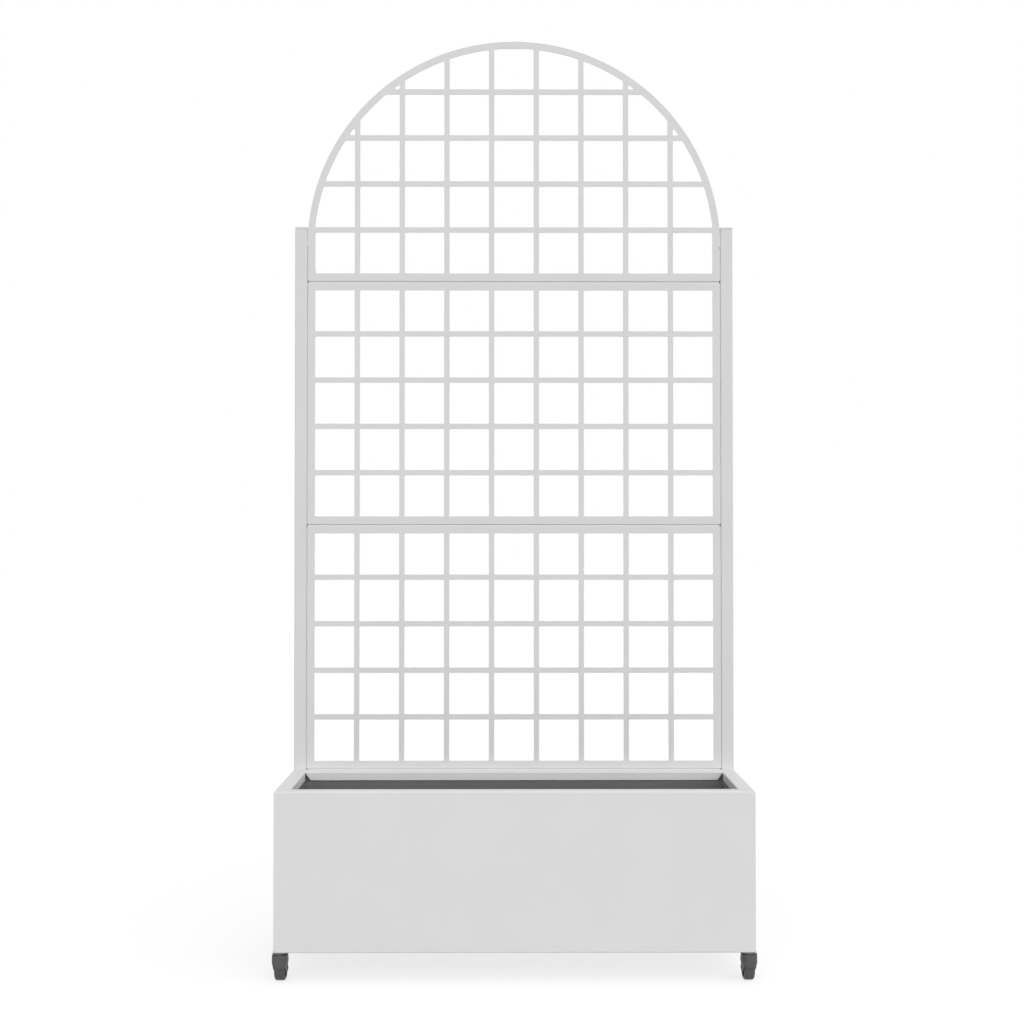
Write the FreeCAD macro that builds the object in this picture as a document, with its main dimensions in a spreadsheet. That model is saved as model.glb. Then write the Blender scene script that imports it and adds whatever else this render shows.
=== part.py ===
import FreeCAD
import Part
import Sketcher
import math
import os
import re

# Trellis planter: a folded sheet-metal trough on four swivel castors, with two square posts
# behind it that carry two square-grid trellis panels and an arched one.
# Millimetres. +X is to the right, +Y to the back, +Z up, and z = 0 is the floor under the castors.

SIZES = {
    # Trough
    "box_width": 900,
    "box_depth": 250,
    "box_height": 300,
    "wall_gauge": 1.2,
    "bend_radius": 1.0,
    "lip_width": 28,
    "return_height": 17,
    "return_bevel": 12,
    "mitre_gap": 0.4,
    "bottom_flange": 40,
    "corner_flange": 25,
    "fit_gap": 0.3,
    # Liner
    "liner_wall": 2,
    "liner_clearance": 1,
    "liner_corner": 16,
    "liner_top_gap": 2,
    "liner_foot_radius": 8,
    "liner_foot_height": 3,
    # Drain holes, shared by the liner and the floor
    "drain_radius": 5,
    "drain_end_inset": 96,
    "drain_side_inset": 56,
    "drain_columns": 5,
    # Posts
    "post_size": 25,
    "post_wall": 1.5,
    "post_corner": 2,
    "post_foot_gap": 10,
    "post_overrun": 107,
    "cap_height": 6,
    "cap_round": 1.5,
    "plug_height": 2,
    "plug_length": 12,
    "plug_gap": 0.1,
    # Trellis
    "panel_height": 500,
    "panel_gauge": 1.5,
    "panel_flange": 20,
    "panel_setback": 0.5,
    "corner_notch": 3,
    "bar_width": 11,
    "window_round": 2,
    "side_border": 16.5,
    "end_border": 17.5,
    "grid_columns": 9,
    "grid_rows": 5,
    "arch_side": 72,
    "arch_band": 14,
    # Castors
    "castor_end_inset": 15,
    "castor_trail": 15,
    "tread_gap": 2,
    "collar_radius": 13,
    "collar_height": 4,
    "thrust_radius": 11,
    "thrust_height": 1,
    "crown_radius": 14,
    "crown_height": 6,
    "crown_round": 10,
    "swivel_play": 0.2,
    "stem_radius": 4,
    "journal_radius": 5,
    "stem_head_radius": 7,
    "stem_head_height": 2,
    "stem_head_gap": 0.5,
    "stem_nut_width": 13,
    "stem_nut_height": 6.5,
    "stem_washer_radius": 8,
    "stem_washer_height": 1.6,
    "stem_washer_gap": 0.3,
    "running_gap": 0.05,
    "hood_base": 28,
    "fork_leg": 3,
    "fork_foot": 1.5,
    "fork_foot_radius": 8,
    "fork_foot_round": 6,
    "fork_taper": 6,
    "wheel_diameter": 45,
    "wheel_width": 20,
    "wheel_shoulder": 3,
    "wheel_rim": 6,
    "wheel_web": 8,
    "hub_radius": 7,
    "hub_proud": 0.5,
    "hub_play": 0.5,
    "axle_radius": 3,
    "rivet_radius": 5,
    "rivet_height": 1.5,
    # Fasteners
    "bolt_radius": 3,
    "bolt_head_radius": 5.5,
    "bolt_head_height": 3.3,
    "bolt_head_round": 2,
    "bolt_tail": 2,
    "nut_width": 10,
    "nut_height": 5,
    "thread_gap": 0.05,
    "hole_gap": 0.25,
    "corner_bolt_inset": 60,
    "corner_bolts": 3,
    "panel_bolt_inset": 60,
    "arch_bolt_drop": 32,
    "joint_bolt_inset": 145,
    "joint_bolts": 3,
}

# Levels and places that several pieces share
CASTOR_HEIGHT = "(wheel_diameter + tread_gap + crown_height + thrust_height + collar_height)"
FRONT = "(-(box_depth + post_size + bolt_head_height) / 2)"
BACK = f"({FRONT} + box_depth)"
RIM = f"({CASTOR_HEIGHT} + box_height)"
POST_X = "(box_width / 2 - post_size / 2)"
POST_Y = f"({BACK} + post_size / 2)"
POST_FOOT = f"({CASTOR_HEIGHT} + post_foot_gap)"
PANEL_WIDTH = "(box_width - 2 * post_size)"
PANEL_FRONT = f"({BACK} + panel_setback)"
POST_LENGTH = f"({RIM} + 2 * panel_height + post_overrun - {POST_FOOT})"
BOLT_DEPTH = "(post_size / 2 - panel_setback)"
CELL_WIDTH = (
    f"(({PANEL_WIDTH} - 2 * side_border - (grid_columns - 1) * bar_width) / grid_columns)"
)
CELL_HEIGHT = "((panel_height - 2 * end_border - (grid_rows - 1) * bar_width) / grid_rows)"
FLOOR_TOP = f"({CASTOR_HEIGHT} + 2 * wall_gauge)"
LINER_BASE = f"({FLOOR_TOP} + liner_foot_height)"
LINER_HEIGHT = f"({RIM} - return_height - liner_top_gap - {LINER_BASE})"
LINER_WIDTH = "(box_width - 2 * lip_width - 2 * liner_clearance)"
LINER_DEPTH = "(box_depth - 2 * lip_width - 2 * liner_clearance)"
FLOOR_HALF = "(box_width / 2 - wall_gauge - fit_gap)"
STEM_X = f"({FLOOR_HALF} - stem_washer_gap - stem_washer_radius)"
FRONT_STEM_Y = f"({FRONT} + castor_end_inset)"
REAR_STEM_Y = f"({BACK} - castor_end_inset)"
AXLE_HEIGHT = "(wheel_diameter / 2)"
CROWN_BASE = "(wheel_diameter + tread_gap)"
CROWN_TOP = f"({CROWN_BASE} + crown_height)"
COLLAR_BASE = f"({CROWN_TOP} + thrust_height)"
STEM_TOP = f"({FLOOR_TOP} + stem_washer_height + stem_nut_height + bolt_tail)"
HUB_WIDTH = "(wheel_width + 2 * hub_proud)"
FORK_SLOT = f"({HUB_WIDTH} + 2 * hub_play)"
FORK_WIDTH = f"({FORK_SLOT} + 2 * fork_leg)"
FOOT_WIDTH = f"({FORK_SLOT} + 2 * fork_foot)"
OVERCUT = 1

doc = FreeCAD.newDocument("trellis_planter")
sheet = doc.addObject("Spreadsheet::Sheet", "Sizes")
for row, (size_name, size) in enumerate(SIZES.items(), start=1):
    sheet.set(f"A{row}", size_name.replace("_", " "))
    sheet.set(f"B{row}", str(size))
    sheet.setAlias(f"B{row}", size_name)
doc.recompute()

nodes = []


def bound(formula):
    """The formula with each size's name pointing at its cell."""

    def cell(word):
        return f"Sizes.{word[0]}" if word[0] in SIZES else word[0]

    return re.sub(r"[a-z_]+", cell, str(formula))


def value(formula):
    return float(sheet.evalExpression(bound(formula)))


def vector(x, y, z):
    return FreeCAD.Vector(value(x), value(y), value(z))


def node(item, label):
    """Names a finished sub-part, which is written to its own file."""
    item.Label = label
    nodes.append(item)
    return item


def place(item, x=0, y=0, z=0, turn=0):
    """Binds a sub-part's place; turn is in degrees about Z."""
    item.Placement = FreeCAD.Placement(vector(x, y, z), FreeCAD.Rotation(FreeCAD.Vector(0, 0, 1), turn))
    for axis, formula in zip("xyz", (x, y, z)):
        item.setExpression(f"Placement.Base.{axis}", bound(formula))


def new_body(name):
    return doc.addObject("PartDesign::Body", name)


def own_plane(body, role):
    return next(plane for plane in body.Origin.OriginFeatures if plane.Role == role)


def new_sketch(body, role, lift=0):
    """An empty sketch on one of the body's own planes, lifted along the plane's normal."""
    sketch = body.newObject("Sketcher::SketchObject", f"{body.Name}_sketch")
    sketch.AttachmentSupport = (own_plane(body, role), [""])
    sketch.MapMode = "FlatFace"
    sketch.setExpression("AttachmentOffset.Base.z", bound(lift))
    return sketch


def fix(sketch, geometry, point, u, v):
    """Binds one point of a sketch to its two coordinates."""
    for kind, formula in (("DistanceX", u), ("DistanceY", v)):
        constraint = Sketcher.Constraint(kind, -1, 1, geometry, point, value(formula))
        index = sketch.addConstraint(constraint)
        sketch.setExpression(f"Constraints[{index}]", bound(formula))


def add_outline(sketch, corners):
    """A closed outline of straight lines through corners given as formulas."""
    points = [vector(u, v, 0) for u, v in corners]
    lines = [Part.LineSegment(a, b) for a, b in zip(points, points[1:] + points[:1])]
    first = sketch.GeometryCount
    sketch.addGeometry(lines, False)
    count = len(lines)
    for step in range(count):
        following = first + (step + 1) % count
        sketch.addConstraint(Sketcher.Constraint("Coincident", first + step, 2, following, 1))
    for step, (u, v) in enumerate(corners):
        fix(sketch, first + step, 1, u, v)


def add_circle(sketch, u, v, radius):
    circle = Part.Circle(vector(u, v, 0), FreeCAD.Vector(0, 0, 1), value(radius))
    geometry = sketch.addGeometry(circle, False)
    fix(sketch, geometry, 3, u, v)
    index = sketch.addConstraint(Sketcher.Constraint("Radius", geometry, value(radius)))
    sketch.setExpression(f"Constraints[{index}]", bound(radius))


def add_dome(sketch, half_width, base, spring):
    """An outline with a flat base, upright sides up to the spring line and a half circle on top."""
    corners = [(f"-{half_width}", spring), (f"-{half_width}", base), (half_width, base), (half_width, spring)]
    points = [vector(u, v, 0) for u, v in corners]
    top = vector(0, f"{spring} + {half_width}", 0)
    sketch.addGeometry([Part.LineSegment(a, b) for a, b in zip(points, points[1:])], False)
    arc = sketch.addGeometry(Part.Arc(points[3], top, points[0]), False)
    for line in (0, 1):
        sketch.addConstraint(Sketcher.Constraint("Coincident", line, 2, line + 1, 1))
    sketch.addConstraint(Sketcher.Constraint("Coincident", 2, 2, arc, 1))
    sketch.addConstraint(Sketcher.Constraint("Coincident", arc, 2, 0, 1))
    for line, (u, v) in enumerate(corners[:3]):
        fix(sketch, line, 1, u, v)
    fix(sketch, 2, 2, *corners[3])
    index = sketch.addConstraint(Sketcher.Constraint("DistanceY", -1, 1, arc, 3, value(spring)))
    sketch.setExpression(f"Constraints[{index}]", bound(spring))


def add_rounded(sketch, u, v, width, height, r):
    """A rectangle with round corners of radius r, from its lower left corner."""
    right, top = f"({u} + {width})", f"({v} + {height})"
    near_left, near_right = f"({u} + {r})", f"({right} - {r})"
    near_base, near_top = f"({v} + {r})", f"({top} - {r})"
    starts = [(near_left, v), (right, near_base), (near_right, top), (u, near_top)]
    ends = [(near_right, v), (right, near_top), (near_left, top), (u, near_base)]
    centres = [(near_right, near_base), (near_right, near_top), (near_left, near_top), (near_left, near_base)]
    first = sketch.GeometryCount
    for start, end in zip(starts, ends):
        sketch.addGeometry(Part.LineSegment(vector(*start, 0), vector(*end, 0)), False)
    for step, (start, end, centre) in enumerate(zip(starts, ends, centres)):
        line = first + step
        fix(sketch, line, 1, *start)
        fix(sketch, line, 2, *end)
        circle = Part.Circle(vector(*centre, 0), FreeCAD.Vector(0, 0, 1), value(r))
        quarter = Part.ArcOfCircle(circle, math.radians(90 * step - 90), math.radians(90 * step))
        arc = sketch.addGeometry(quarter, False)
        sketch.addConstraint(Sketcher.Constraint("Tangent", line, 2, arc, 1))
        sketch.addConstraint(Sketcher.Constraint("Coincident", arc, 2, first + (step + 1) % 4, 1))


def rectangle(u, v, width, height):
    """Corners of a rectangle from its lower left corner."""
    return [(u, v), (f"{u} + {width}", v), (f"{u} + {width}", f"{v} + {height}"), (u, f"{v} + {height}")]


def outlined(body, role, *outlines, lift=0):
    sketch = new_sketch(body, role, lift)
    for corners in outlines:
        add_outline(sketch, corners)
    return sketch


def drilled(body, role, centres, radius, lift=0):
    sketch = new_sketch(body, role, lift)
    for u, v in centres:
        add_circle(sketch, u, v, radius)
    return sketch


def pad(body, sketch, length, side="One side", back=False):
    feature = body.newObject("PartDesign::Pad", f"{body.Name}_pad")
    feature.Profile = sketch
    feature.SideType = side
    feature.Reversed = back
    feature.setExpression("Length", bound(length))
    doc.recompute()
    return feature


def pocket(body, sketch, length, side="One side", back=False):
    """A cut, which must take material away."""
    before = body.Shape.Volume
    feature = body.newObject("PartDesign::Pocket", f"{body.Name}_pocket")
    feature.Profile = sketch
    feature.SideType = side
    feature.Reversed = back
    feature.setExpression("Length", bound(length))
    doc.recompute()
    if not body.Shape.Volume < before:
        raise ValueError(f"{feature.Label} cuts nothing")
    return feature


def turned(body, role, corners, axis):
    """A piece turned on a lathe from half of its section."""
    feature = body.newObject("PartDesign::Revolution", f"{body.Name}_turned")
    sketch = outlined(body, role, corners)
    feature.Profile = sketch
    feature.ReferenceAxis = (sketch, [axis])
    doc.recompute()
    return feature


def round_edges(body, radius, wanted):
    """Rounds those edges of the body, as it is now, that the test picks."""
    base = body.Tip
    edges = [f"Edge{i}" for i, edge in enumerate(base.Shape.Edges, start=1) if wanted(edge)]
    feature = body.newObject("PartDesign::Fillet", f"{body.Name}_round")
    feature.Base = (base, edges)
    feature.setExpression("Radius", bound(radius))
    doc.recompute()
    return feature


def along(edge, axis):
    """Is the edge straight and parallel to the axis?"""
    if edge.Curve.TypeId != "Part::GeomLine":
        return False
    return abs(getattr(edge.tangentAt(edge.FirstParameter), axis)) > 0.999


def at(edge, **spot):
    """Is the middle of the edge at these coordinates?"""
    middle = edge.CenterOfMass
    return all(abs(getattr(middle, axis) - value(formula)) < 0.01 for axis, formula in spot.items())


def group(label, template, places):
    """Identical loose pieces in one node."""
    copies = []
    for spot in places:
        copy = template.Shape.copy()
        copy.Placement = spot
        copies.append(copy)
    item = doc.addObject("Part::Feature", label)
    item.Shape = Part.makeCompound(copies)
    return node(item, label)


def facing(direction, x, y, z):
    """A place for a fastener whose own +Z points in the direction."""
    turn = FreeCAD.Rotation(FreeCAD.Vector(0, 0, 1), FreeCAD.Vector(*direction))
    return FreeCAD.Placement(vector(x, y, z), turn)


def evenly(count, span):
    """Formulas for a number of places spread evenly over a span about its middle."""
    return [f"({span} * {step / (count - 1) - 0.5})" for step in range(count)]


# Bolt heights on the trough's corners, above its underside
CORNER_BOLTS = [
    f"(box_height / 2 + {height})"
    for height in evenly(SIZES["corner_bolts"], "(box_height - 2 * corner_bolt_inset)")
]
# Bolt heights on the trellis panels' sides, above the lower panel's bottom edge
PANEL_BOLTS = ["panel_bolt_inset", "(panel_height - panel_bolt_inset)"]
ARCH_BOLT = "(arch_side - arch_bolt_drop)"
PANEL_BOLT_LEVELS = [
    *PANEL_BOLTS,
    *[f"(panel_height + {height})" for height in PANEL_BOLTS],
    f"(2 * panel_height + {ARCH_BOLT})",
]
JOINT_BOLTS = evenly(SIZES["joint_bolts"], f"({PANEL_WIDTH} - 2 * joint_bolt_inset)")
DRAINS = [
    (u, v)
    for u in evenly(SIZES["drain_columns"], f"({LINER_WIDTH} - 2 * drain_end_inset)")
    for v in evenly(2, f"({LINER_DEPTH} - 2 * drain_side_inset)")
]


def wall_profile(foot):
    """Section of a wall from its outer face inwards: web, rim lip and turned-down return."""
    return [
        *foot,
        ("0", "box_height"),
        ("lip_width", "box_height"),
        ("lip_width", "box_height - return_height"),
        ("lip_width - wall_gauge", "box_height - return_height"),
        ("lip_width - wall_gauge", "box_height - wall_gauge"),
        ("wall_gauge", "box_height - wall_gauge"),
    ]


def bend(body, inner, outer):
    """Rounds the bends of a folded sheet, given as the corners of its section."""

    def in_section(corners):
        return lambda edge: along(edge, "x") and any(at(edge, y=u, z=v) for u, v in corners)

    round_edges(body, "bend_radius", in_section(inner))
    round_edges(body, "bend_radius + wall_gauge", in_section(outer))


RIM_BENDS_INSIDE = [
    ("wall_gauge", "box_height - wall_gauge"),
    ("lip_width - wall_gauge", "box_height - wall_gauge"),
]
RIM_BENDS_OUTSIDE = [("0", "box_height"), ("lip_width", "box_height")]


def mitre_rim(body, half_length, start):
    """Cuts the lip's ends to 45 degrees from the given depth, and bevels the return's ends."""
    reach = f"({half_length} - mitre_gap / 2 + {start})"
    deep = f"(lip_width + {OVERCUT})"
    mitres = []
    bevels = []
    tip = f"({reach} - lip_width)"
    low = "(box_height - return_height)"
    for side in ("-1", "1"):
        mitres.append(
            [
                (f"{side} * ({reach} - {start} + {OVERCUT})", f"{start} - {OVERCUT}"),
                (f"{side} * ({reach} - {start} + {OVERCUT})", deep),
                (f"{side} * ({reach} - {deep})", deep),
            ]
        )
        bevels.append(
            [
                (f"{side} * {tip}", "box_height - wall_gauge - bend_radius"),
                (f"{side} * ({tip} + lip_width)", f"{low} - {OVERCUT}"),
                (f"{side} * ({tip} - return_bevel)", f"{low} - {OVERCUT}"),
            ]
        )
    pocket(body, outlined(body, "XY_Plane", *mitres, lift="box_height"), f"return_height + {OVERCUT}")
    beveled = outlined(body, "XZ_Plane", *bevels, lift=f"-lip_width - {OVERCUT}")
    pocket(body, beveled, f"wall_gauge + {2 * OVERCUT}", back=True)


def long_wall(label):
    """Front or back panel: folded rim on top and a flange below that carries the floor."""
    body = new_body(label)
    foot = [("wall_gauge", "wall_gauge"), ("bottom_flange", "wall_gauge"), ("bottom_flange", "0"), ("0", "0")]
    profile = outlined(body, "YZ_Plane", wall_profile(foot))
    pad(body, profile, "box_width", side="Symmetric")
    bend(body, [foot[0], *RIM_BENDS_INSIDE], [foot[3], *RIM_BENDS_OUTSIDE])
    mitre_rim(body, "box_width / 2", "wall_gauge")
    stems = [(f"{side} * {STEM_X}", "castor_end_inset") for side in (-1, 1)]
    pocket(
        body,
        drilled(body, "XY_Plane", stems, "stem_radius + hole_gap"),
        f"wall_gauge + {OVERCUT}",
        back=True,
    )
    return node(body, label)


def short_wall(label):
    """Side panel: stands between the front and back panels, with a flange behind each of them."""
    body = new_body(label)
    half = "(box_depth / 2 - wall_gauge)"
    base = "(wall_gauge + bend_radius)"
    foot = [("wall_gauge", base), ("0", base)]
    profile = outlined(body, "YZ_Plane", wall_profile(foot))
    pad(body, profile, f"2 * {half}", side="Symmetric")
    bend(body, RIM_BENDS_INSIDE, RIM_BENDS_OUTSIDE)
    mitre_rim(body, half, "0")
    flanges = [
        rectangle(f"-{half}", "0", "wall_gauge", "corner_flange"),
        rectangle(f"({half} - wall_gauge)", "0", "wall_gauge", "corner_flange"),
    ]
    pad(body, outlined(body, "XY_Plane", *flanges, lift=base), f"box_height - 2 * {base} - fit_gap")
    holes = drilled(body, "YZ_Plane", [("post_size / 2", z) for z in CORNER_BOLTS], "bolt_radius + hole_gap")
    pocket(body, holes, "box_depth", side="Symmetric")
    return node(body, label)


def walls():
    front = long_wall("front_panel")
    place(front, y=FRONT, z=CASTOR_HEIGHT)
    back = long_wall("back_panel")
    holes = [(f"{side} * {POST_X}", z) for side in (-1, 1) for z in CORNER_BOLTS]
    pocket(back, drilled(back, "XZ_Plane", holes, "bolt_radius + hole_gap"), f"wall_gauge + {OVERCUT}")
    place(back, y=BACK, z=CASTOR_HEIGHT, turn=180)
    left = short_wall("left_side_panel")
    place(left, x="-box_width / 2", y=f"{FRONT} + box_depth / 2", z=CASTOR_HEIGHT, turn=-90)
    right = short_wall("right_side_panel")
    place(right, x="box_width / 2", y=f"{FRONT} + box_depth / 2", z=CASTOR_HEIGHT, turn=90)


def floor_panel():
    """Flat sheet that lies on the front and back panels' bottom flanges."""
    body = new_body("floor_panel")
    depth = "(box_depth - 4 * wall_gauge - 2 * fit_gap)"
    plan = rectangle(f"-{FLOOR_HALF}", f"-{depth} / 2", f"2 * {FLOOR_HALF}", depth)
    pad(body, outlined(body, "XY_Plane", plan), "wall_gauge")
    stem_y = "(box_depth / 2 - castor_end_inset)"
    stems = [(f"{a} * {STEM_X}", f"{b} * {stem_y}") for a in (-1, 1) for b in (-1, 1)]
    for centres, radius in ((stems, "stem_radius + hole_gap"), (DRAINS, "drain_radius")):
        pocket(body, drilled(body, "XY_Plane", centres, radius), f"wall_gauge + {OVERCUT}", back=True)
    place(body, y=f"{FRONT} + box_depth / 2", z=f"{CASTOR_HEIGHT} + wall_gauge")
    node(body, "floor_panel")


def add_liner_plan(sketch, inset):
    """The liner's outline in plan, set in from its outer faces."""
    across, deep = f"({LINER_WIDTH} - 2 * {inset})", f"({LINER_DEPTH} - 2 * {inset})"
    add_rounded(sketch, f"-{across} / 2", f"-{deep} / 2", across, deep, f"(liner_corner - {inset})")


def liner():
    """Wall band with round corners, and a floor sheet with feet and drain holes welded inside it."""
    band = new_body("planting_liner")
    plan = new_sketch(band, "XY_Plane")
    add_liner_plan(plan, "0")
    add_liner_plan(plan, "liner_wall")
    pad(band, plan, LINER_HEIGHT)
    floor = new_body("liner_floor")
    sole = new_sketch(floor, "XY_Plane")
    add_liner_plan(sole, "liner_wall")
    pad(floor, sole, "liner_wall")
    feet = drilled(floor, "XY_Plane", [(u, f"{v} / 2") for u, v in DRAINS], "liner_foot_radius")
    pad(floor, feet, "liner_foot_height", back=True)
    drains = drilled(floor, "XY_Plane", DRAINS, "drain_radius")
    pocket(floor, drains, f"liner_wall + {OVERCUT}", back=True)
    for body in (band, floor):
        place(body, y=f"{FRONT} + box_depth / 2", z=LINER_BASE)
        node(body, body.Name)


def post(label, side):
    """Square tube bolted to the back panel, with panel bolt holes in its inner wall."""
    body = new_body(label)
    bore = "(post_size - 2 * post_wall)"
    outer = rectangle("-post_size / 2", "-post_size / 2", "post_size", "post_size")
    inner = rectangle(f"-{bore} / 2", f"-{bore} / 2", bore, bore)
    pad(body, outlined(body, "XY_Plane", outer, inner), POST_LENGTH)
    round_edges(
        body,
        "post_corner",
        lambda edge: along(edge, "z") and abs(abs(edge.CenterOfMass.x) - value("post_size / 2")) < 0.01,
    )
    below = "post_foot_gap"
    through = "bolt_radius + hole_gap"
    rear = drilled(body, "XZ_Plane", [("0", f"{z} - {below}") for z in CORNER_BOLTS], through)
    pocket(body, rear, "2 * post_size", side="Symmetric")
    levels = [("0", f"{RIM} + {z} - {POST_FOOT}") for z in PANEL_BOLT_LEVELS]
    pocket(body, drilled(body, "YZ_Plane", levels, through), "post_size", back=side < 0)
    place(body, x=f"{side} * {POST_X}", y=POST_Y, z=POST_FOOT)
    node(body, label)


def end_cap(label, side, height, top):
    """Moulded cap with a plug that fills the tube's end."""
    body = new_body(label)
    plug = "(post_size - 2 * post_wall - 2 * plug_gap)"
    head = rectangle("-post_size / 2", "-post_size / 2", "post_size", "post_size")
    pad(body, outlined(body, "XY_Plane", head), height, back=not top)
    end = height if top else f"-{height}"
    round_edges(body, "post_corner", lambda edge: along(edge, "z"))
    round_edges(body, "cap_round", lambda edge: at(edge, z=end))
    stub = rectangle(f"-{plug} / 2", f"-{plug} / 2", plug, plug)
    pad(body, outlined(body, "XY_Plane", stub), "plug_length", back=top)
    level = f"{POST_FOOT} + {POST_LENGTH}" if top else POST_FOOT
    place(body, x=f"{side} * {POST_X}", y=POST_Y, z=level)
    node(body, label)


def posts():
    for name, side in (("left", -1), ("right", 1)):
        post(f"{name}_post", side)
        end_cap(f"{name}_post_cap", side, "cap_height", True)
        end_cap(f"{name}_post_plug", side, "plug_height", False)


def folded_blank(name, height, closed):
    """Sheet with its edges folded back; the top edge is folded only where the blank is closed."""
    body = new_body(name)
    half = f"({PANEL_WIDTH} / 2)"
    block = outlined(body, "XZ_Plane", rectangle(f"-{half}", "0", PANEL_WIDTH, height))
    pad(body, block, "panel_flange", back=True)

    def folded(edge, inset, depth):
        sides = any(at(edge, x=f"{side} * ({half} - {inset})", y=depth) for side in (-1, 1))
        ends = at(edge, z=inset, y=depth) or (closed and at(edge, z=f"{height} - {inset}", y=depth))
        return sides and along(edge, "z") or ends and along(edge, "x")

    round_edges(body, "bend_radius + panel_gauge", lambda edge: folded(edge, "0", "0"))
    hollow = rectangle(
        f"(-{half} + panel_gauge)",
        "panel_gauge",
        f"({PANEL_WIDTH} - 2 * panel_gauge)",
        f"({height} - 2 * panel_gauge)" if closed else height,
    )
    cut = outlined(body, "XZ_Plane", hollow, lift="-panel_gauge")
    pocket(body, cut, "panel_flange")
    round_edges(body, "bend_radius", lambda edge: folded(edge, "panel_gauge", "panel_gauge"))
    levels = ["0", f"({height} - corner_notch)"]
    notches = [
        rectangle(u, v, "corner_notch", "corner_notch")
        for u in (f"-{half}", f"({half} - corner_notch)")
        for v in levels
    ]
    relief = outlined(body, "XZ_Plane", *notches, lift="-bend_radius - panel_gauge")
    pocket(body, relief, "panel_flange")
    return body


def side_bolt_holes(body, levels):
    holes = drilled(body, "YZ_Plane", [(BOLT_DEPTH, z) for z in levels], "bolt_radius + hole_gap")
    pocket(body, holes, f"2 * {PANEL_WIDTH}", side="Symmetric")


def joint_bolt_holes(body, level):
    """Holes in one folded edge, centred on the given height."""
    centres = [(x, BOLT_DEPTH) for x in JOINT_BOLTS]
    holes = drilled(body, "XY_Plane", centres, "bolt_radius + hole_gap", lift=level)
    pocket(body, holes, "3 * panel_gauge", side="Symmetric")


def grid_panel(label, level, joints):
    """Square-grid trellis panel with all four edges folded back."""
    body = folded_blank(label, "panel_height", True)
    half = f"({PANEL_WIDTH} / 2)"
    sketch = new_sketch(body, "XZ_Plane")
    add_rounded(sketch, f"(side_border - {half})", "end_border", CELL_WIDTH, CELL_HEIGHT, "window_round")
    window = pocket(body, sketch, f"panel_gauge + {OVERCUT}")
    spread(body, window, sketch)
    side_bolt_holes(body, PANEL_BOLTS)
    for joint in joints:
        joint_bolt_holes(body, joint)
    place(body, y=PANEL_FRONT, z=level)
    node(body, label)


def spread(body, cell, sketch):
    """Repeats one cell of the grid across the columns and up the rows."""
    pattern = body.newObject("PartDesign::LinearPattern", f"{body.Name}_grid")
    pattern.Originals = [cell]
    pattern.Direction = (sketch, ["H_Axis"])
    pattern.Direction2 = (sketch, ["V_Axis"])
    pattern.setExpression("Length", bound(f"(grid_columns - 1) * ({CELL_WIDTH} + bar_width)"))
    pattern.setExpression("Length2", bound(f"(grid_rows - 1) * ({CELL_HEIGHT} + bar_width)"))
    pattern.setExpression("Occurrences", bound("grid_columns"))
    pattern.setExpression("Occurrences2", bound("grid_rows"))
    body.Tip = pattern
    doc.recompute()
    return pattern


def arch_panel():
    """Trellis panel with a half-round top: the grid's cells are clipped by the arch's band."""
    blank = folded_blank("arch_blank", "arch_side", False)
    half = f"({PANEL_WIDTH} / 2)"
    crown = new_sketch(blank, "XZ_Plane")
    add_dome(crown, half, "(arch_side - corner_notch)", "arch_side")
    pad(blank, crown, "panel_gauge", back=True)
    side_bolt_holes(blank, [ARCH_BOLT])
    joint_bolt_holes(blank, "0")

    cells = new_body("arch_cells")
    sketch = new_sketch(cells, "XZ_Plane")
    add_rounded(sketch, f"(side_border - {half})", "end_border", CELL_WIDTH, CELL_HEIGHT, "window_round")
    first = pad(cells, sketch, f"2 * panel_gauge + {OVERCUT}", side="Symmetric")
    spread(cells, first, sketch)

    inside = new_body("arch_inside")
    outline = new_sketch(inside, "XZ_Plane")
    add_dome(outline, f"({half} - arch_band)", "end_border", "arch_side")
    pad(inside, outline, f"4 * panel_gauge + {OVERCUT}", side="Symmetric")

    windows = doc.addObject("Part::Common", "arch_windows")
    windows.Base = cells
    windows.Tool = inside
    panel = doc.addObject("Part::Cut", "arch_trellis_panel")
    panel.Base = blank
    panel.Tool = windows
    doc.recompute()
    place(panel, y=PANEL_FRONT, z=f"{RIM} + 2 * panel_height")
    node(panel, "arch_trellis_panel")


def trellis():
    grid_panel("lower_trellis_panel", RIM, ["panel_height"])
    grid_panel("middle_trellis_panel", f"{RIM} + panel_height", ["0", "panel_height"])
    arch_panel()


def castor_stem(label, x, y):
    """Turned stem: head below the fork, journal, upper race and threaded end."""
    body = new_body(label)
    head_top = f"({CROWN_BASE} - swivel_play)"
    section = [
        ("0", f"{head_top} - stem_head_height"),
        ("stem_head_radius", f"{head_top} - stem_head_height"),
        ("stem_head_radius", head_top),
        ("journal_radius", head_top),
        ("journal_radius", COLLAR_BASE),
        ("collar_radius", COLLAR_BASE),
        ("collar_radius", CASTOR_HEIGHT),
        ("stem_radius", CASTOR_HEIGHT),
        ("stem_radius", STEM_TOP),
        ("0", STEM_TOP),
    ]
    turned(body, "XZ_Plane", section, "V_Axis")
    place(body, x=x, y=y)
    node(body, label)


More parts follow.
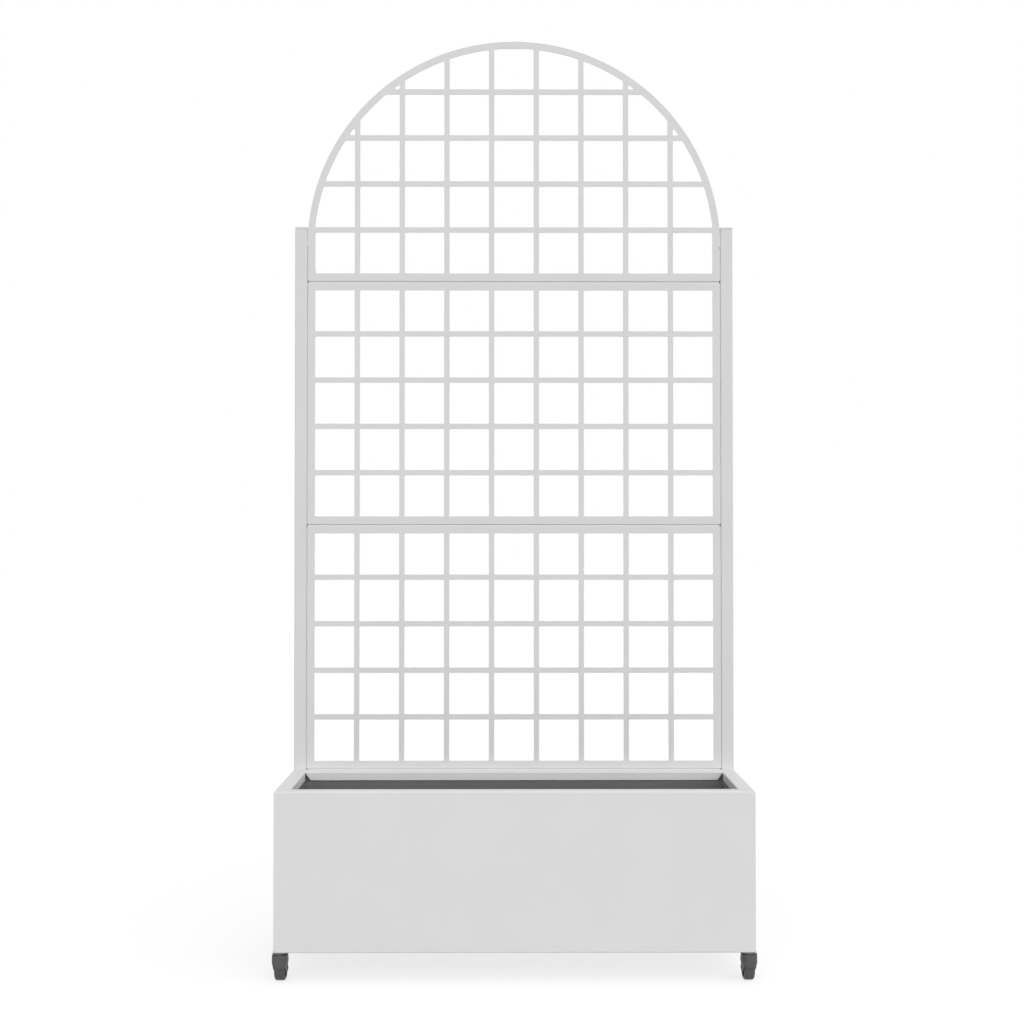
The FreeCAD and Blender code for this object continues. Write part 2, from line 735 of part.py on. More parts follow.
def castor_fork(label, x, y):
    """Moulded hood: a crown on the stem, closed in front of the wheel, and two legs back to the axle."""
    body = new_body(label)
    foot = "fork_foot_radius"
    outline = [
        ("-crown_radius", CROWN_TOP),
        ("-crown_radius", "hood_base"),
        (f"castor_trail - {foot}", f"{AXLE_HEIGHT} - {foot}"),
        (f"castor_trail + {foot}", f"{AXLE_HEIGHT} - {foot}"),
        (f"castor_trail + {foot}", f"{AXLE_HEIGHT} + {foot}"),
        ("crown_radius", CROWN_TOP),
    ]
    pad(body, outlined(body, "YZ_Plane", outline), FORK_WIDTH, side="Symmetric")
    round_edges(body, "crown_round", lambda edge: along(edge, "z") and at(edge, y="-crown_radius"))
    round_edges(
        body,
        "fork_foot_round",
        lambda edge: along(edge, "x") and at(edge, z=f"{AXLE_HEIGHT} - {foot}"),
    )
    room = drilled(body, "YZ_Plane", [("castor_trail", AXLE_HEIGHT)], "wheel_diameter / 2 + tread_gap")
    pocket(body, room, FORK_SLOT, side="Symmetric")
    way_in = rectangle("castor_trail", "0", "2 * crown_radius", CROWN_BASE)
    pocket(body, outlined(body, "YZ_Plane", way_in), FORK_SLOT, side="Symmetric")
    head_room = drilled(body, "XY_Plane", [("0", "0")], "stem_head_radius + stem_head_gap", lift=CROWN_BASE)
    pocket(body, head_room, CROWN_BASE)
    half = f"({FORK_WIDTH} / 2)"
    waist = f"({AXLE_HEIGHT} + {foot})"
    tapers = [
        [
            (f"{side} * {FOOT_WIDTH} / 2", "0"),
            (f"{side} * {FOOT_WIDTH} / 2", waist),
            (f"{side} * {half}", f"{waist} + fork_taper"),
            (f"{side} * ({half} + {OVERCUT})", f"{waist} + fork_taper"),
            (f"{side} * ({half} + {OVERCUT})", "0"),
        ]
        for side in (-1, 1)
    ]
    pocket(body, outlined(body, "XZ_Plane", *tapers), "4 * (castor_trail + crown_radius)", side="Symmetric")
    bore = drilled(body, "XY_Plane", [("0", "0")], "journal_radius + running_gap", lift=CROWN_BASE)
    pocket(body, bore, "2 * crown_height", back=True)
    axle = drilled(body, "YZ_Plane", [("castor_trail", AXLE_HEIGHT)], "axle_radius + running_gap")
    pocket(body, axle, f"2 * {FORK_WIDTH}", side="Symmetric")
    place(body, x=x, y=y)
    node(body, label)


def castor_wheel(label, x, y):
    """Wheel with bevelled tread edges, dished sides and a hub."""
    body = new_body(label)
    bore = "axle_radius + running_gap"
    tread = "(wheel_diameter / 2)"
    rim = f"({tread} - wheel_rim)"
    side = [
        (f"{HUB_WIDTH} / 2", bore),
        (f"{HUB_WIDTH} / 2", "hub_radius"),
        ("wheel_web / 2", "hub_radius"),
        ("wheel_web / 2", rim),
        ("wheel_width / 2", rim),
        ("wheel_width / 2", f"{tread} - wheel_shoulder"),
        ("wheel_width / 2 - wheel_shoulder", tread),
    ]
    other = [(f"-({u})", v) for u, v in reversed(side)]
    turned(body, "XY_Plane", [*side, *other], "H_Axis")
    place(body, x=x, y=f"{y} + castor_trail", z=AXLE_HEIGHT)
    node(body, label)


def castor_axle(label, x, y):
    """Rivet with a head outside each leg."""
    body = new_body(label)
    leg = f"({FOOT_WIDTH} / 2)"
    section = [
        (f"-{leg} - rivet_height", "0"),
        (f"-{leg} - rivet_height", "rivet_radius"),
        (f"-{leg}", "rivet_radius"),
        (f"-{leg}", "axle_radius"),
        (leg, "axle_radius"),
        (leg, "rivet_radius"),
        (f"{leg} + rivet_height", "rivet_radius"),
        (f"{leg} + rivet_height", "0"),
    ]
    turned(body, "XY_Plane", section, "H_Axis")
    place(body, x=x, y=f"{y} + castor_trail", z=AXLE_HEIGHT)
    node(body, label)


CASTORS = {
    "front_left": (f"-{STEM_X}", FRONT_STEM_Y),
    "front_right": (STEM_X, FRONT_STEM_Y),
    "rear_left": (f"-{STEM_X}", REAR_STEM_Y),
    "rear_right": (STEM_X, REAR_STEM_Y),
}


def castors():
    for name, (x, y) in CASTORS.items():
        castor_stem(f"{name}_castor_stem", x, y)
        castor_fork(f"{name}_castor_fork", x, y)
        castor_wheel(f"{name}_castor_wheel", x, y)
        castor_axle(f"{name}_castor_axle", x, y)


def ring(name, outer, inner, height):
    """Washer lying on z = 0."""
    disc = doc.addObject("Part::Cylinder", f"{name}_disc")
    hole = doc.addObject("Part::Cylinder", f"{name}_hole")
    for item, radius in ((disc, outer), (hole, inner)):
        item.setExpression("Radius", bound(radius))
        item.setExpression("Height", bound(height))
    cut = doc.addObject("Part::Cut", name)
    cut.Base = disc
    cut.Tool = hole
    doc.recompute()
    return cut


def hex_nut(name, width, height, thread):
    """Hexagon nut standing on z = 0."""
    block = doc.addObject("Part::Prism", f"{name}_block")
    block.Polygon = 6
    block.setExpression("Circumradius", bound(f"{width} / sqrt(3)"))
    block.setExpression("Height", bound(height))
    hole = doc.addObject("Part::Cylinder", f"{name}_hole")
    hole.setExpression("Radius", bound(f"{thread} + thread_gap"))
    hole.setExpression("Height", bound(height))
    cut = doc.addObject("Part::Cut", name)
    cut.Base = block
    cut.Tool = hole
    doc.recompute()
    return cut


def button_bolt(name, grip):
    """Round-headed bolt: its head stands on z = 0 and its shank points down through the grip."""
    body = new_body(name)
    end = f"-({grip} + nut_height + bolt_tail)"
    section = [
        ("0", "bolt_head_height"),
        ("bolt_head_radius - bolt_head_round", "bolt_head_height"),
        ("bolt_head_radius", "bolt_head_height - bolt_head_round"),
        ("bolt_head_radius", "0"),
        ("bolt_radius", "0"),
        ("bolt_radius", end),
        ("0", end),
    ]
    turned(body, "XZ_Plane", section, "V_Axis")
    return body


def clinch_stud(name):
    """Plain threaded stud that stands on the front panel's inner face."""
    stud = doc.addObject("Part::Cylinder", name)
    stud.setExpression("Radius", bound("bolt_radius"))
    stud.setExpression("Height", bound("wall_gauge + nut_height + bolt_tail"))
    doc.recompute()
    return stud


def fasteners():
    up, forward, rearward = (0, 0, 1), (0, -1, 0), (0, 1, 0)
    stems = list(CASTORS.values())
    washer = ring("stem_washer", "stem_washer_radius", "stem_radius + hole_gap", "stem_washer_height")
    group("castor_stem_washers", washer, [facing(up, x, y, FLOOR_TOP) for x, y in stems])
    stem_nut = hex_nut("stem_nut", "stem_nut_width", "stem_nut_height", "stem_radius")
    group(
        "castor_stem_nuts",
        stem_nut,
        [facing(up, x, y, f"{FLOOR_TOP} + stem_washer_height") for x, y in stems],
    )
    thrust = ring("thrust_washer", "thrust_radius", "journal_radius + running_gap", "thrust_height")
    group("castor_thrust_washers", thrust, [facing(up, x, y, CROWN_TOP) for x, y in stems])

    nut = hex_nut("bolt_nut", "nut_width", "nut_height", "bolt_radius")
    corners = [(f"{side} * {POST_X}", f"{CASTOR_HEIGHT} + {z}") for side in (-1, 1) for z in CORNER_BOLTS]
    inner_front = f"{FRONT} + wall_gauge"
    stud = clinch_stud("corner_stud")
    group("front_corner_studs", stud, [facing(rearward, x, inner_front, z) for x, z in corners])
    group(
        "front_corner_nuts",
        nut,
        [facing(rearward, x, f"{inner_front} + wall_gauge", z) for x, z in corners],
    )
    post_bolt = button_bolt("post_bolt", "post_size + 2 * wall_gauge")
    group("post_bolts", post_bolt, [facing(rearward, x, f"{BACK} + post_size", z) for x, z in corners])
    group("post_nuts", nut, [facing(forward, x, f"{BACK} - 2 * wall_gauge", z) for x, z in corners])

    panel_bolt = button_bolt("panel_bolt", "panel_gauge + post_wall")
    heads = []
    nuts = []
    for side in (-1, 1):
        for z in PANEL_BOLT_LEVELS:
            level = f"{RIM} + {z}"
            flange = f"{side} * (box_width / 2 - post_size - panel_gauge)"
            heads.append(facing((-side, 0, 0), flange, POST_Y, level))
            tube_wall = f"{side} * (box_width / 2 - post_size + post_wall)"
            nuts.append(facing((side, 0, 0), tube_wall, POST_Y, level))
    group("panel_bolts", panel_bolt, heads)
    group("panel_nuts", nut, nuts)

    joint_bolt = button_bolt("joint_bolt", "2 * panel_gauge")
    joints = [(x, f"{RIM} + {count} * panel_height") for count in (1, 2) for x in JOINT_BOLTS]
    group("joint_bolts", joint_bolt, [facing((0, 0, -1), x, POST_Y, f"{z} - panel_gauge") for x, z in joints])
    group("joint_nuts", nut, [facing(up, x, POST_Y, f"{z} + panel_gauge") for x, z in joints])


walls()
floor_panel()
liner()
posts()
trellis()
castors()
fasteners()
doc.recompute()

failed = [item.Label for item in doc.Objects if {"Invalid", "Error"} & set(item.State)]
broken = [item.Label for item in nodes if item.Shape.isNull() or not item.Shape.isValid()]
if failed or broken:
    raise ValueError(f"failed: {failed}, broken: {broken}")
os.makedirs("parts", exist_ok=True)
for item in nodes:
    item.Shape.exportStep(f"parts/{item.Label}.step")
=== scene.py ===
import math

import bmesh
import bpy
from mathutils import Euler, Matrix, Vector


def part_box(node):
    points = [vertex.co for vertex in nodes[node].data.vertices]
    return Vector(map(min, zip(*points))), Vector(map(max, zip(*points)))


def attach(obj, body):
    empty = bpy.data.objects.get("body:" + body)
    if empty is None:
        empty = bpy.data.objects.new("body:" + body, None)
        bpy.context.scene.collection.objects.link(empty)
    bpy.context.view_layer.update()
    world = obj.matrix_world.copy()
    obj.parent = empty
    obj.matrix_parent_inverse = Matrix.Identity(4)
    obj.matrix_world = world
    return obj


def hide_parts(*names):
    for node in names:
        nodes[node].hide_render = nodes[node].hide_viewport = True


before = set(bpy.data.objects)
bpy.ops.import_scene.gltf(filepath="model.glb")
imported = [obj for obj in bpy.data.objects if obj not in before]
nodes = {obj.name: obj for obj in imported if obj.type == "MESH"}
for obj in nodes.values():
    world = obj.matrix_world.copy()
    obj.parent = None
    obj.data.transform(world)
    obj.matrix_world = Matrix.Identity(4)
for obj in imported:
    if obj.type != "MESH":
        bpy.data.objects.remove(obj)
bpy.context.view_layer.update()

scene = bpy.context.scene

# Camera, fitted to the photo's trellis bars, posts and rim, in metres and radians
CAMERA_PLACE = (-0.0161, -2.77605, 0.8361)
CAMERA_RAISE = 0.01678
CAMERA_TURN = -0.00417
CAMERA_REACH = 200.0
FOCAL_PIXELS = 1407.5
FRAME_PIXELS = 1024
SENSOR_WIDTH = 36.0

# Finishes, as linear grey values
TROUGH_GREY = 0.735
# The trellis and posts wear the trough's own coat, painted about 6% darker as painted shade
TRELLIS_SHADED_GREY = 0.69
CAP_GREY = 0.62
# The liner is dark plastic whose grey also serves as painted shade for the inside of the trough
LINER_AND_SHADE_GREY = 0.16
CASTOR_GREY = 0.084
ZINC_GREY = 0.55
DARK_STEEL_GREY = 0.16

# Noise in the finishes: its fineness, and the part of its range that most of it fills
NOISE_DETAIL = 3.0
NOISE_ROUGHNESS = 0.55
NOISE_LOW = 0.3
NOISE_HIGH = 0.7


class Graph:
    """Adds nodes to a node tree and links them; a value that is a socket is linked, any other is set."""

    def __init__(self, tree):
        self.tree = tree

    def add(self, kind, inputs=None, **settings):
        made = self.tree.nodes.new(kind)
        for name, setting in settings.items():
            setattr(made, name, setting)
        for key, given in (inputs or {}).items():
            socket = made.inputs[key]
            if isinstance(given, bpy.types.NodeSocket):
                self.tree.links.new(given, socket)
            else:
                socket.default_value = given
        return made

    def math(self, operation, *given):
        return self.add("ShaderNodeMath", dict(enumerate(given)), operation=operation).outputs[0]


class Recipe(Graph):
    """A Geometry Nodes tree: one geometry and named sizes in, one geometry out, all in one material."""

    def __init__(self, name, sizes):
        super().__init__(bpy.data.node_groups.new(name, "GeometryNodeTree"))
        self.socket("Geometry", "INPUT", "NodeSocketGeometry")
        self.keys = {}
        for label, size in sizes.items():
            kind = "NodeSocketInt" if isinstance(size, int) else "NodeSocketFloat"
            made = self.socket(label, "INPUT", kind)
            made.default_value = size
            self.keys[label] = made.identifier
        self.socket("Geometry", "OUTPUT", "NodeSocketGeometry")
        self.given = self.add("NodeGroupInput").outputs

    def socket(self, label, side, kind):
        return self.tree.interface.new_socket(label, in_out=side, socket_type=kind)

    def finish(self, geometry, material):
        whole = self.add("GeometryNodeRealizeInstances", {"Geometry": geometry})
        coat = {"Geometry": whole.outputs[0], "Material": material}
        coated = self.add("GeometryNodeSetMaterial", coat)
        self.add("NodeGroupOutput", {"Geometry": coated.outputs[0]})


def new_material(name):
    """An empty node material, and the graph that fills it."""
    material = bpy.data.materials.new(name)
    material.use_nodes = True
    material.node_tree.nodes.clear()
    return material, Graph(material.node_tree)


def grey(level):
    return (level, level, level, 1.0)


def mottled(graph, coordinates, scale, level, spread):
    """A grey that wanders by the given share about its level."""
    noise = graph.add(
        "ShaderNodeTexNoise",
        {
            "Vector": coordinates,
            "Scale": scale,
            "Detail": NOISE_DETAIL,
            "Roughness": NOISE_ROUGHNESS,
        },
    )
    ramp = graph.add(
        "ShaderNodeMapRange",
        {
            "Value": noise.outputs["Fac"],
            "From Min": NOISE_LOW,
            "From Max": NOISE_HIGH,
            "To Min": level * (1 - spread),
            "To Max": level * (1 + spread),
        },
    )
    return ramp.outputs["Result"]


def bumped(graph, coordinates, scale, depth, detail=2.0):
    """A fine relief of the given depth in metres."""
    texture = {"Vector": coordinates, "Scale": scale, "Detail": detail}
    noise = graph.add("ShaderNodeTexNoise", texture)
    relief = {"Height": noise.outputs["Fac"], "Strength": 1.0, "Distance": depth}
    return graph.add("ShaderNodeBump", relief).outputs["Normal"]


def finish_material(graph, **inputs):
    """A principled surface; its inputs are given with an underscore for each space in their names."""
    settings = {name.replace("_", " "): given for name, given in inputs.items()}
    shader = graph.add("ShaderNodeBsdfPrincipled", settings)
    graph.add("ShaderNodeOutputMaterial", {"Surface": shader.outputs["BSDF"]})


def powder_coat(name, level):
    """Satin powder coat: an even grey with a fine orange peel."""
    material, graph = new_material(name)
    place = graph.add("ShaderNodeTexCoord").outputs["Object"]
    finish_material(
        graph,
        Base_Color=mottled(graph, place, scale=7.0, level=level, spread=0.012),
        Roughness=mottled(graph, place, scale=60.0, level=0.5, spread=0.1),
        Normal=bumped(graph, place, scale=700.0, depth=0.00004),
        Specular_IOR_Level=0.35,
    )
    return material


def moulded_plastic(name, level, grain, roughness):
    """Moulded plastic with a fine spark-eroded grain."""
    material, graph = new_material(name)
    place = graph.add("ShaderNodeTexCoord").outputs["Object"]
    finish_material(
        graph,
        Base_Color=mottled(graph, place, scale=25.0, level=level, spread=0.035),
        Roughness=mottled(graph, place, scale=90.0, level=roughness, spread=0.12),
        Normal=bumped(graph, place, scale=grain, depth=0.00006, detail=4.0),
        Specular_IOR_Level=0.4,
    )
    return material


def plated_steel(name, level):
    """Plated or darkened steel with a cloudy, fine-brushed sheen."""
    material, graph = new_material(name)
    place = graph.add("ShaderNodeTexCoord").outputs["Object"]
    finish_material(
        graph,
        Base_Color=mottled(graph, place, scale=180.0, level=level, spread=0.1),
        Roughness=mottled(graph, place, scale=400.0, level=0.36, spread=0.25),
        Normal=bumped(graph, place, scale=1500.0, depth=0.00002),
        Metallic=1.0,
    )
    return material


trough_coat = powder_coat("trough_powder_coat", TROUGH_GREY)
# The trough's coat again, with painted shade: about 6% darker for the trellis and posts
shaded_trellis_coat = powder_coat("shaded_trellis_powder_coat", TRELLIS_SHADED_GREY)
cap_plastic = moulded_plastic("post_cap_plastic", CAP_GREY, grain=900.0, roughness=0.6)
# Liner plastic, its dark grey partly painted shade for the inside of the trough
liner_plastic = moulded_plastic("liner_plastic", LINER_AND_SHADE_GREY, grain=500.0, roughness=0.65)
castor_nylon = moulded_plastic("castor_nylon", CASTOR_GREY, grain=800.0, roughness=0.5)
zinc = plated_steel("zinc_plate", ZINC_GREY)
dark_steel = plated_steel("dark_steel", DARK_STEEL_GREY)


def coat_nodes():
    """Gives every CAD node the finish of its kind."""
    for name, item in nodes.items():
        if name.endswith(("trellis_panel", "_post")):
            material = shaded_trellis_coat
        elif name.endswith("_panel"):
            material = trough_coat
        elif name.endswith(("post_cap", "post_plug")):
            material = cap_plastic
        elif name in ("planting_liner", "liner_floor"):
            material = liner_plastic
        elif name.endswith(("fork", "wheel", "thrust_washers")):
            material = castor_nylon
        elif name.endswith(("_stem", "_axle")):
            material = dark_steel
        else:
            material = zinc
        item.data.materials.clear()
        item.data.materials.append(material)


# Pieces: points closer than the first value are one, and edges flatter than the second are smooth
MERGE = 0.000002
SMOOTH_ANGLE = math.radians(32)


def plain_mesh(name, shape):
    """A mesh of a bmesh with its faces outwards; the bmesh goes."""
    bmesh.ops.recalc_face_normals(shape, faces=shape.faces)
    mesh = bpy.data.meshes.new(name)
    shape.to_mesh(mesh)
    shape.free()
    return mesh


def linked(name, data):
    """A new object in the scene."""
    item = bpy.data.objects.new(name, data)
    scene.collection.objects.link(item)
    return item


def finished(name, shape, material):
    """A piece from a bmesh: doubles merged, faces outwards, edges sharp only where they are."""
    bmesh.ops.remove_doubles(shape, verts=shape.verts, dist=MERGE)
    mesh = plain_mesh(name, shape)
    mesh.materials.append(material)
    mesh.shade_smooth()
    mesh.set_sharp_from_angle(angle=SMOOTH_ANGLE)
    return linked(name, mesh)


def evaluated(item):
    """A plain bmesh of what an object's modifiers make; the object itself goes."""
    shown = item.evaluated_get(bpy.context.evaluated_depsgraph_get())
    mesh = bpy.data.meshes.new_from_object(shown)
    bpy.data.objects.remove(item)
    shape = bmesh.new()
    shape.from_mesh(mesh)
    return shape


def grown(recipe, name, base, sizes):
    """The bmesh that a recipe makes of a base mesh."""
    seed = linked(name, base)
    modifier = seed.modifiers.new("recipe", "NODES")
    modifier.node_group = recipe.tree
    for label, size in sizes.items():
        modifier[recipe.keys[label]] = size
    return evaluated(seed)


def welded(recipe, geometry):
    """The geometry with its doubled points merged, as nodes."""
    merge = {"Geometry": geometry, "Distance": MERGE}
    return recipe.add("GeometryNodeMergeByDistance", merge).outputs[0]


def fit(piece, body, slot, *replaced):
    """Rides a piece on its body in place of CAD nodes, which it hides. The slot is not used."""
    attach(piece, body)
    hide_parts(*replaced)


# Fasteners: one turned profile, repeated at each of a node's solids
FASTENER_SIDES = 24
THREAD_ROWS = 42
HEXAGON_TURN = math.pi / 3
LEAST_HEXAGON = 0.001
HEAD_SHARE = 0.9
M8_PITCH = 0.00125
LONG_THREAD_START = 0.78
SHORT_THREAD_START = 0.3
POST_BOLT_LENGTH = 0.0344
PANEL_BOLT_LENGTH = 0.01
STUD_HEIGHT = 0.0082
JOURNAL_SHARE = 1.25
JOURNAL_START = 0.303
JOURNAL_END = 0.848
FASTENER_SIZES = {
    "Outer Radius": 0.0055,
    "Inner Radius": 0.003,
    "Hexagon Radius": 0.0023,
    "Height": 0.0033,
    "Length": 0.01,
    "Thread Pitch": 0.001,
    "Thread Depth": 0.0003,
}
M6_NUT_SIZES = {
    "Outer Radius": 0.00578,
    "Inner Radius": 0.00305,
    "Hexagon Radius": 0.00578,
    "Height": 0.005,
}
M8_NUT_SIZES = {
    "Outer Radius": 0.0075,
    "Inner Radius": 0.00405,
    "Hexagon Radius": 0.0075,
    "Height": 0.0065,
    "Thread Pitch": M8_PITCH,
}


def thread_steps(start, end):
    return [start + (end - start) * step / THREAD_ROWS for step in range(THREAD_ROWS + 1)]


# A row of a profile holds shares of outer radius, inner radius, hexagon, height, length and thread depth
def bolt_rows(start):
    """Socket bolt from the socket's middle to the tip, with its thread from that share of its length."""
    socket = [(0, 0, 0, 0.5, 0, 0), (1, 0, 1, 0.5, 0, 0), (1, 0, 1, 0.96, 0, 0)]
    dome = [(0.48, 1), (0.62, 0.98), (0.8, 0.84), (0.92, 0.62), (0.985, 0.36), (1, 0.12), (1, 0)]
    head = socket + [(share, 0, 0, height, 0, 0) for share, height in dome]
    shank = [(0, 1, 0, 0, 0, 0), *((0, 1, 0, 0, level, 1) for level in thread_steps(start, 0.96))]
    return head + shank + [(0, 0.78, 0, 0, 1, 0), (0, 0, 0, 0, 1, 0)]


def nut_rows():
    """Hexagon nut with chamfered corners, from its lower bore edge round to the same edge."""
    side = [(0.84, 0), (0.92, 0.035), (1.01, 0.09), (1.01, 0.91), (0.92, 0.965), (0.84, 1)]
    bore = [(0, 1, 0, level, 0, 1) for level in thread_steps(0.92, 0.08)]
    mouth = (0, 1.12, 0, 0, 0, 0)
    hexagon = [(share, 0, 1, height, 0, 0) for share, height in side]
    return [mouth, *hexagon, (0, 1.12, 0, 1, 0, 0), *bore, mouth]


def rivet_rows():
    """Axle rivet with a low dome at each end; the far dome stands below the length."""
    dome = [(0, 1), (0.45, 0.95), (0.75, 0.76), (0.93, 0.45), (1, 0.16), (1, 0)]
    near = [(share, 0, 0, height, 0, 0) for share, height in dome]
    far = [(share, 0, 0, -height, 1, 0) for share, height in reversed(dome)]
    return [*near, (0, 1, 0, 0, 0, 0), (0, 1, 0, 0, 1, 0), *far]


def stem_rows():
    """Castor stem from its threaded end down over the collar and the journal to the head."""
    thread = [(0, 1, 0, level, 0, 1) for level in thread_steps(0.94, 0.12)]
    collar = [(0.95, 0), (0.99, 0.02), (1, 0.05), (1, 0.25), (0.99, 0.28), (0.95, JOURNAL_START)]
    journal = [(0, JOURNAL_SHARE, 0, 0, level, 0) for level in (JOURNAL_START, JOURNAL_END)]
    head = [(0.52, JOURNAL_END), (0.538, 0.87), (0.538, 0.97), (0.51, 1), (0, 1)]
    rows = [(0, 0, 0, 1, 0, 0), (0, 0.8, 0, 1, 0, 0), *thread, (0, 1, 0, 0, 0, 0)]
    rows += [(share, 0, 0, 0, level, 0) for share, level in collar] + journal
    return rows + [(share, 0, 0, 0, level, 0) for share, level in head]


def stud_rows():
    """Threaded stud that stands on its foot."""
    foot = [(0, 0, 0, 0, 0, 0), (0, 1, 0, 0, 0, 0)]
    thread = [(0, 1, 0, level, 0, 1) for level in thread_steps(0.2, 0.94)]
    return [*foot, *thread, (0, 0.8, 0, 1, 0, 0), (0, 0, 0, 1, 0, 0)]


def by_row(graph, row, values):
    """The three numbers that stand at the row's place in a list."""
    switch = graph.add("GeometryNodeIndexSwitch", data_type="VECTOR")
    for _ in range(len(values) - len(switch.index_switch_items)):
        switch.index_switch_items.new()
    graph.tree.links.new(row, switch.inputs["Index"])
    for place, numbers in enumerate(values, start=1):
        switch.inputs[place].default_value = numbers
    return graph.add("ShaderNodeSeparateXYZ", {0: switch.outputs[0]}).outputs


def fastener_recipe(name, rows, material):
    """Turns one fastener from its rows and sets it on every point, along that point's facing."""
    recipe = Recipe(name, FASTENER_SIZES)
    calc, given = recipe.math, recipe.given
    counts = {"Vertices X": len(rows), "Vertices Y": FASTENER_SIDES + 1}
    grid = recipe.add("GeometryNodeMeshGrid", {"Size X": 1.0, "Size Y": 1.0, **counts})
    position = recipe.add("GeometryNodeInputPosition").outputs[0]
    spot = recipe.add("ShaderNodeSeparateXYZ", {0: position}).outputs
    row = calc("ROUND", calc("MULTIPLY", calc("ADD", spot[0], 0.5), len(rows) - 1.0))
    angle = calc("MULTIPLY", calc("ADD", spot[1], 0.5), math.tau)
    outer, inner, hexagon = by_row(recipe, row, [numbers[:3] for numbers in rows])
    height, length, thread = by_row(recipe, row, [numbers[3:] for numbers in rows])

    corner = calc("SUBTRACT", calc("MODULO", angle, HEXAGON_TURN), HEXAGON_TURN / 2)
    flat = calc("DIVIDE", math.cos(HEXAGON_TURN / 2), calc("COSINE", corner))
    flat = calc("MULTIPLY", given["Hexagon Radius"], flat)
    flat = calc("DIVIDE", flat, calc("MAXIMUM", hexagon, LEAST_HEXAGON))
    round_part = calc("MULTIPLY", outer, given["Outer Radius"])
    round_part = calc("MULTIPLY_ADD", inner, given["Inner Radius"], round_part)
    level = calc("MULTIPLY", height, given["Height"])
    level = calc("SUBTRACT", level, calc("MULTIPLY", length, given["Length"]))
    turn = calc("DIVIDE", level, given["Thread Pitch"])
    turn = calc("SUBTRACT", turn, calc("DIVIDE", angle, math.tau))
    depth = calc("MULTIPLY", thread, given["Thread Depth"])
    groove = calc("MULTIPLY", calc("PINGPONG", turn, 0.5), depth)
    radius = calc("MULTIPLY_ADD", groove, -2.0, calc("MINIMUM", round_part, flat))

    x, y = (calc("MULTIPLY", radius, calc(way, angle)) for way in ("COSINE", "SINE"))
    place = recipe.add("ShaderNodeCombineXYZ", {0: x, 1: y, 2: level})
    skin = {"Geometry": grid.outputs["Mesh"], "Position": place.outputs[0]}
    turned = recipe.add("GeometryNodeSetPosition", skin)
    facing = recipe.add(
        "GeometryNodeInputNamedAttribute", {"Name": "facing"}, data_type="FLOAT_VECTOR"
    )
    turning = recipe.add("FunctionNodeAlignRotationToVector", {"Vector": facing.outputs[0]}, axis="Z")
    sources = {
        "Points": given["Geometry"],
        "Instance": welded(recipe, turned.outputs[0]),
        "Rotation": turning.outputs[0],
    }
    placed = recipe.add("GeometryNodeInstanceOnPoints", sources)
    recipe.finish(placed.outputs[0], material)
    return recipe


def solids_of(node):
    """The vertices of each separate solid of a CAD node."""
    shape = bmesh.new()
    shape.from_mesh(nodes[node].data)
    bmesh.ops.remove_doubles(shape, verts=shape.verts, dist=MERGE)
    seen = set()
    solids = []
    for first in shape.verts:
        if first in seen:
            continue
        seen.add(first)
        wave = [first]
        solid = []
        while wave:
            vertex = wave.pop()
            solid.append(vertex.co.copy())
            for edge in vertex.link_edges:
                near = edge.other_vert(vertex)
                if near not in seen:
                    seen.add(near)
                    wave.append(near)
        solids.append(solid)
    shape.free()
    return solids


def span_of(points):
    """The lowest and highest corners of the box round some points."""
    low, high = (Vector(pick(p[axis] for p in points) for axis in range(3)) for pick in (min, max))
    return low, high


def seat_mesh(name, seats, facings):
    """Points for fasteners to stand on, each with the way it faces."""
    mesh = bpy.data.meshes.new(name)
    mesh.from_pydata(seats, [], [])
    facing = mesh.attributes.new("facing", "FLOAT_VECTOR", "POINT")
    facing.data.foreach_set("vector", [part for way in facings for part in way])
    return mesh


def fastener_seats(node, slender, head):
    """Points under the heads of a node's fasteners, or at the feet of those without heads."""
    seats, facings = [], []
    for solid in solids_of(node):
        low, high = span_of(solid)
        spans = high - low
        axis = list(spans).index(max(spans) if slender else min(spans))
        middle = (low + high) / 2
        across = [p - middle for p in solid]
        for arm in across:
            arm[axis] = 0
        reach = max(arm.length for arm in across)
        wide = [p[axis] for p, arm in zip(solid, across) if arm.length > HEAD_SHARE * reach]
        up = not head or sum(wide) / len(wide) > middle[axis]
        facing = Vector()
        facing[axis] = 1 if up else -1
        seat = middle.copy()
        if not head:
            seat[axis] = low[axis]
        elif up:
            seat[axis] = high[axis] - head
        else:
            seat[axis] = low[axis] + head
        seats.append(seat)
        facings.append(facing)
    return seat_mesh(node, seats, facings)


def make_fasteners():
    head = FASTENER_SIZES["Height"]
    post_bolt = {"Length": POST_BOLT_LENGTH}
    panel_bolt = {"Length": PANEL_BOLT_LENGTH}
    nuts = fastener_recipe("hexagon_nuts", nut_rows(), zinc)
    studs = fastener_recipe("threaded_studs", stud_rows(), zinc)
    long_bolts = fastener_recipe("long_socket_bolts", bolt_rows(LONG_THREAD_START), zinc)
    short_bolts = fastener_recipe("short_socket_bolts", bolt_rows(SHORT_THREAD_START), zinc)
    for node, recipe, slender, lift, sizes in (
        ("post_bolts", long_bolts, True, head, post_bolt),
        ("panel_bolts", short_bolts, True, head, panel_bolt),
        ("joint_bolts", short_bolts, True, head, panel_bolt),
        ("front_corner_studs", studs, True, 0, {"Height": STUD_HEIGHT}),
        ("post_nuts", nuts, False, 0, M6_NUT_SIZES),
        ("panel_nuts", nuts, False, 0, M6_NUT_SIZES),
        ("joint_nuts", nuts, False, 0, M6_NUT_SIZES),
        ("front_corner_nuts", nuts, False, 0, M6_NUT_SIZES),
        ("castor_stem_nuts", nuts, False, 0, M8_NUT_SIZES),
    ):
        shape = grown(recipe, node, fastener_seats(node, slender, lift), sizes)
        fit(finished(f"threaded_{node}", shape, zinc), "planter", "zinc_steel", node)


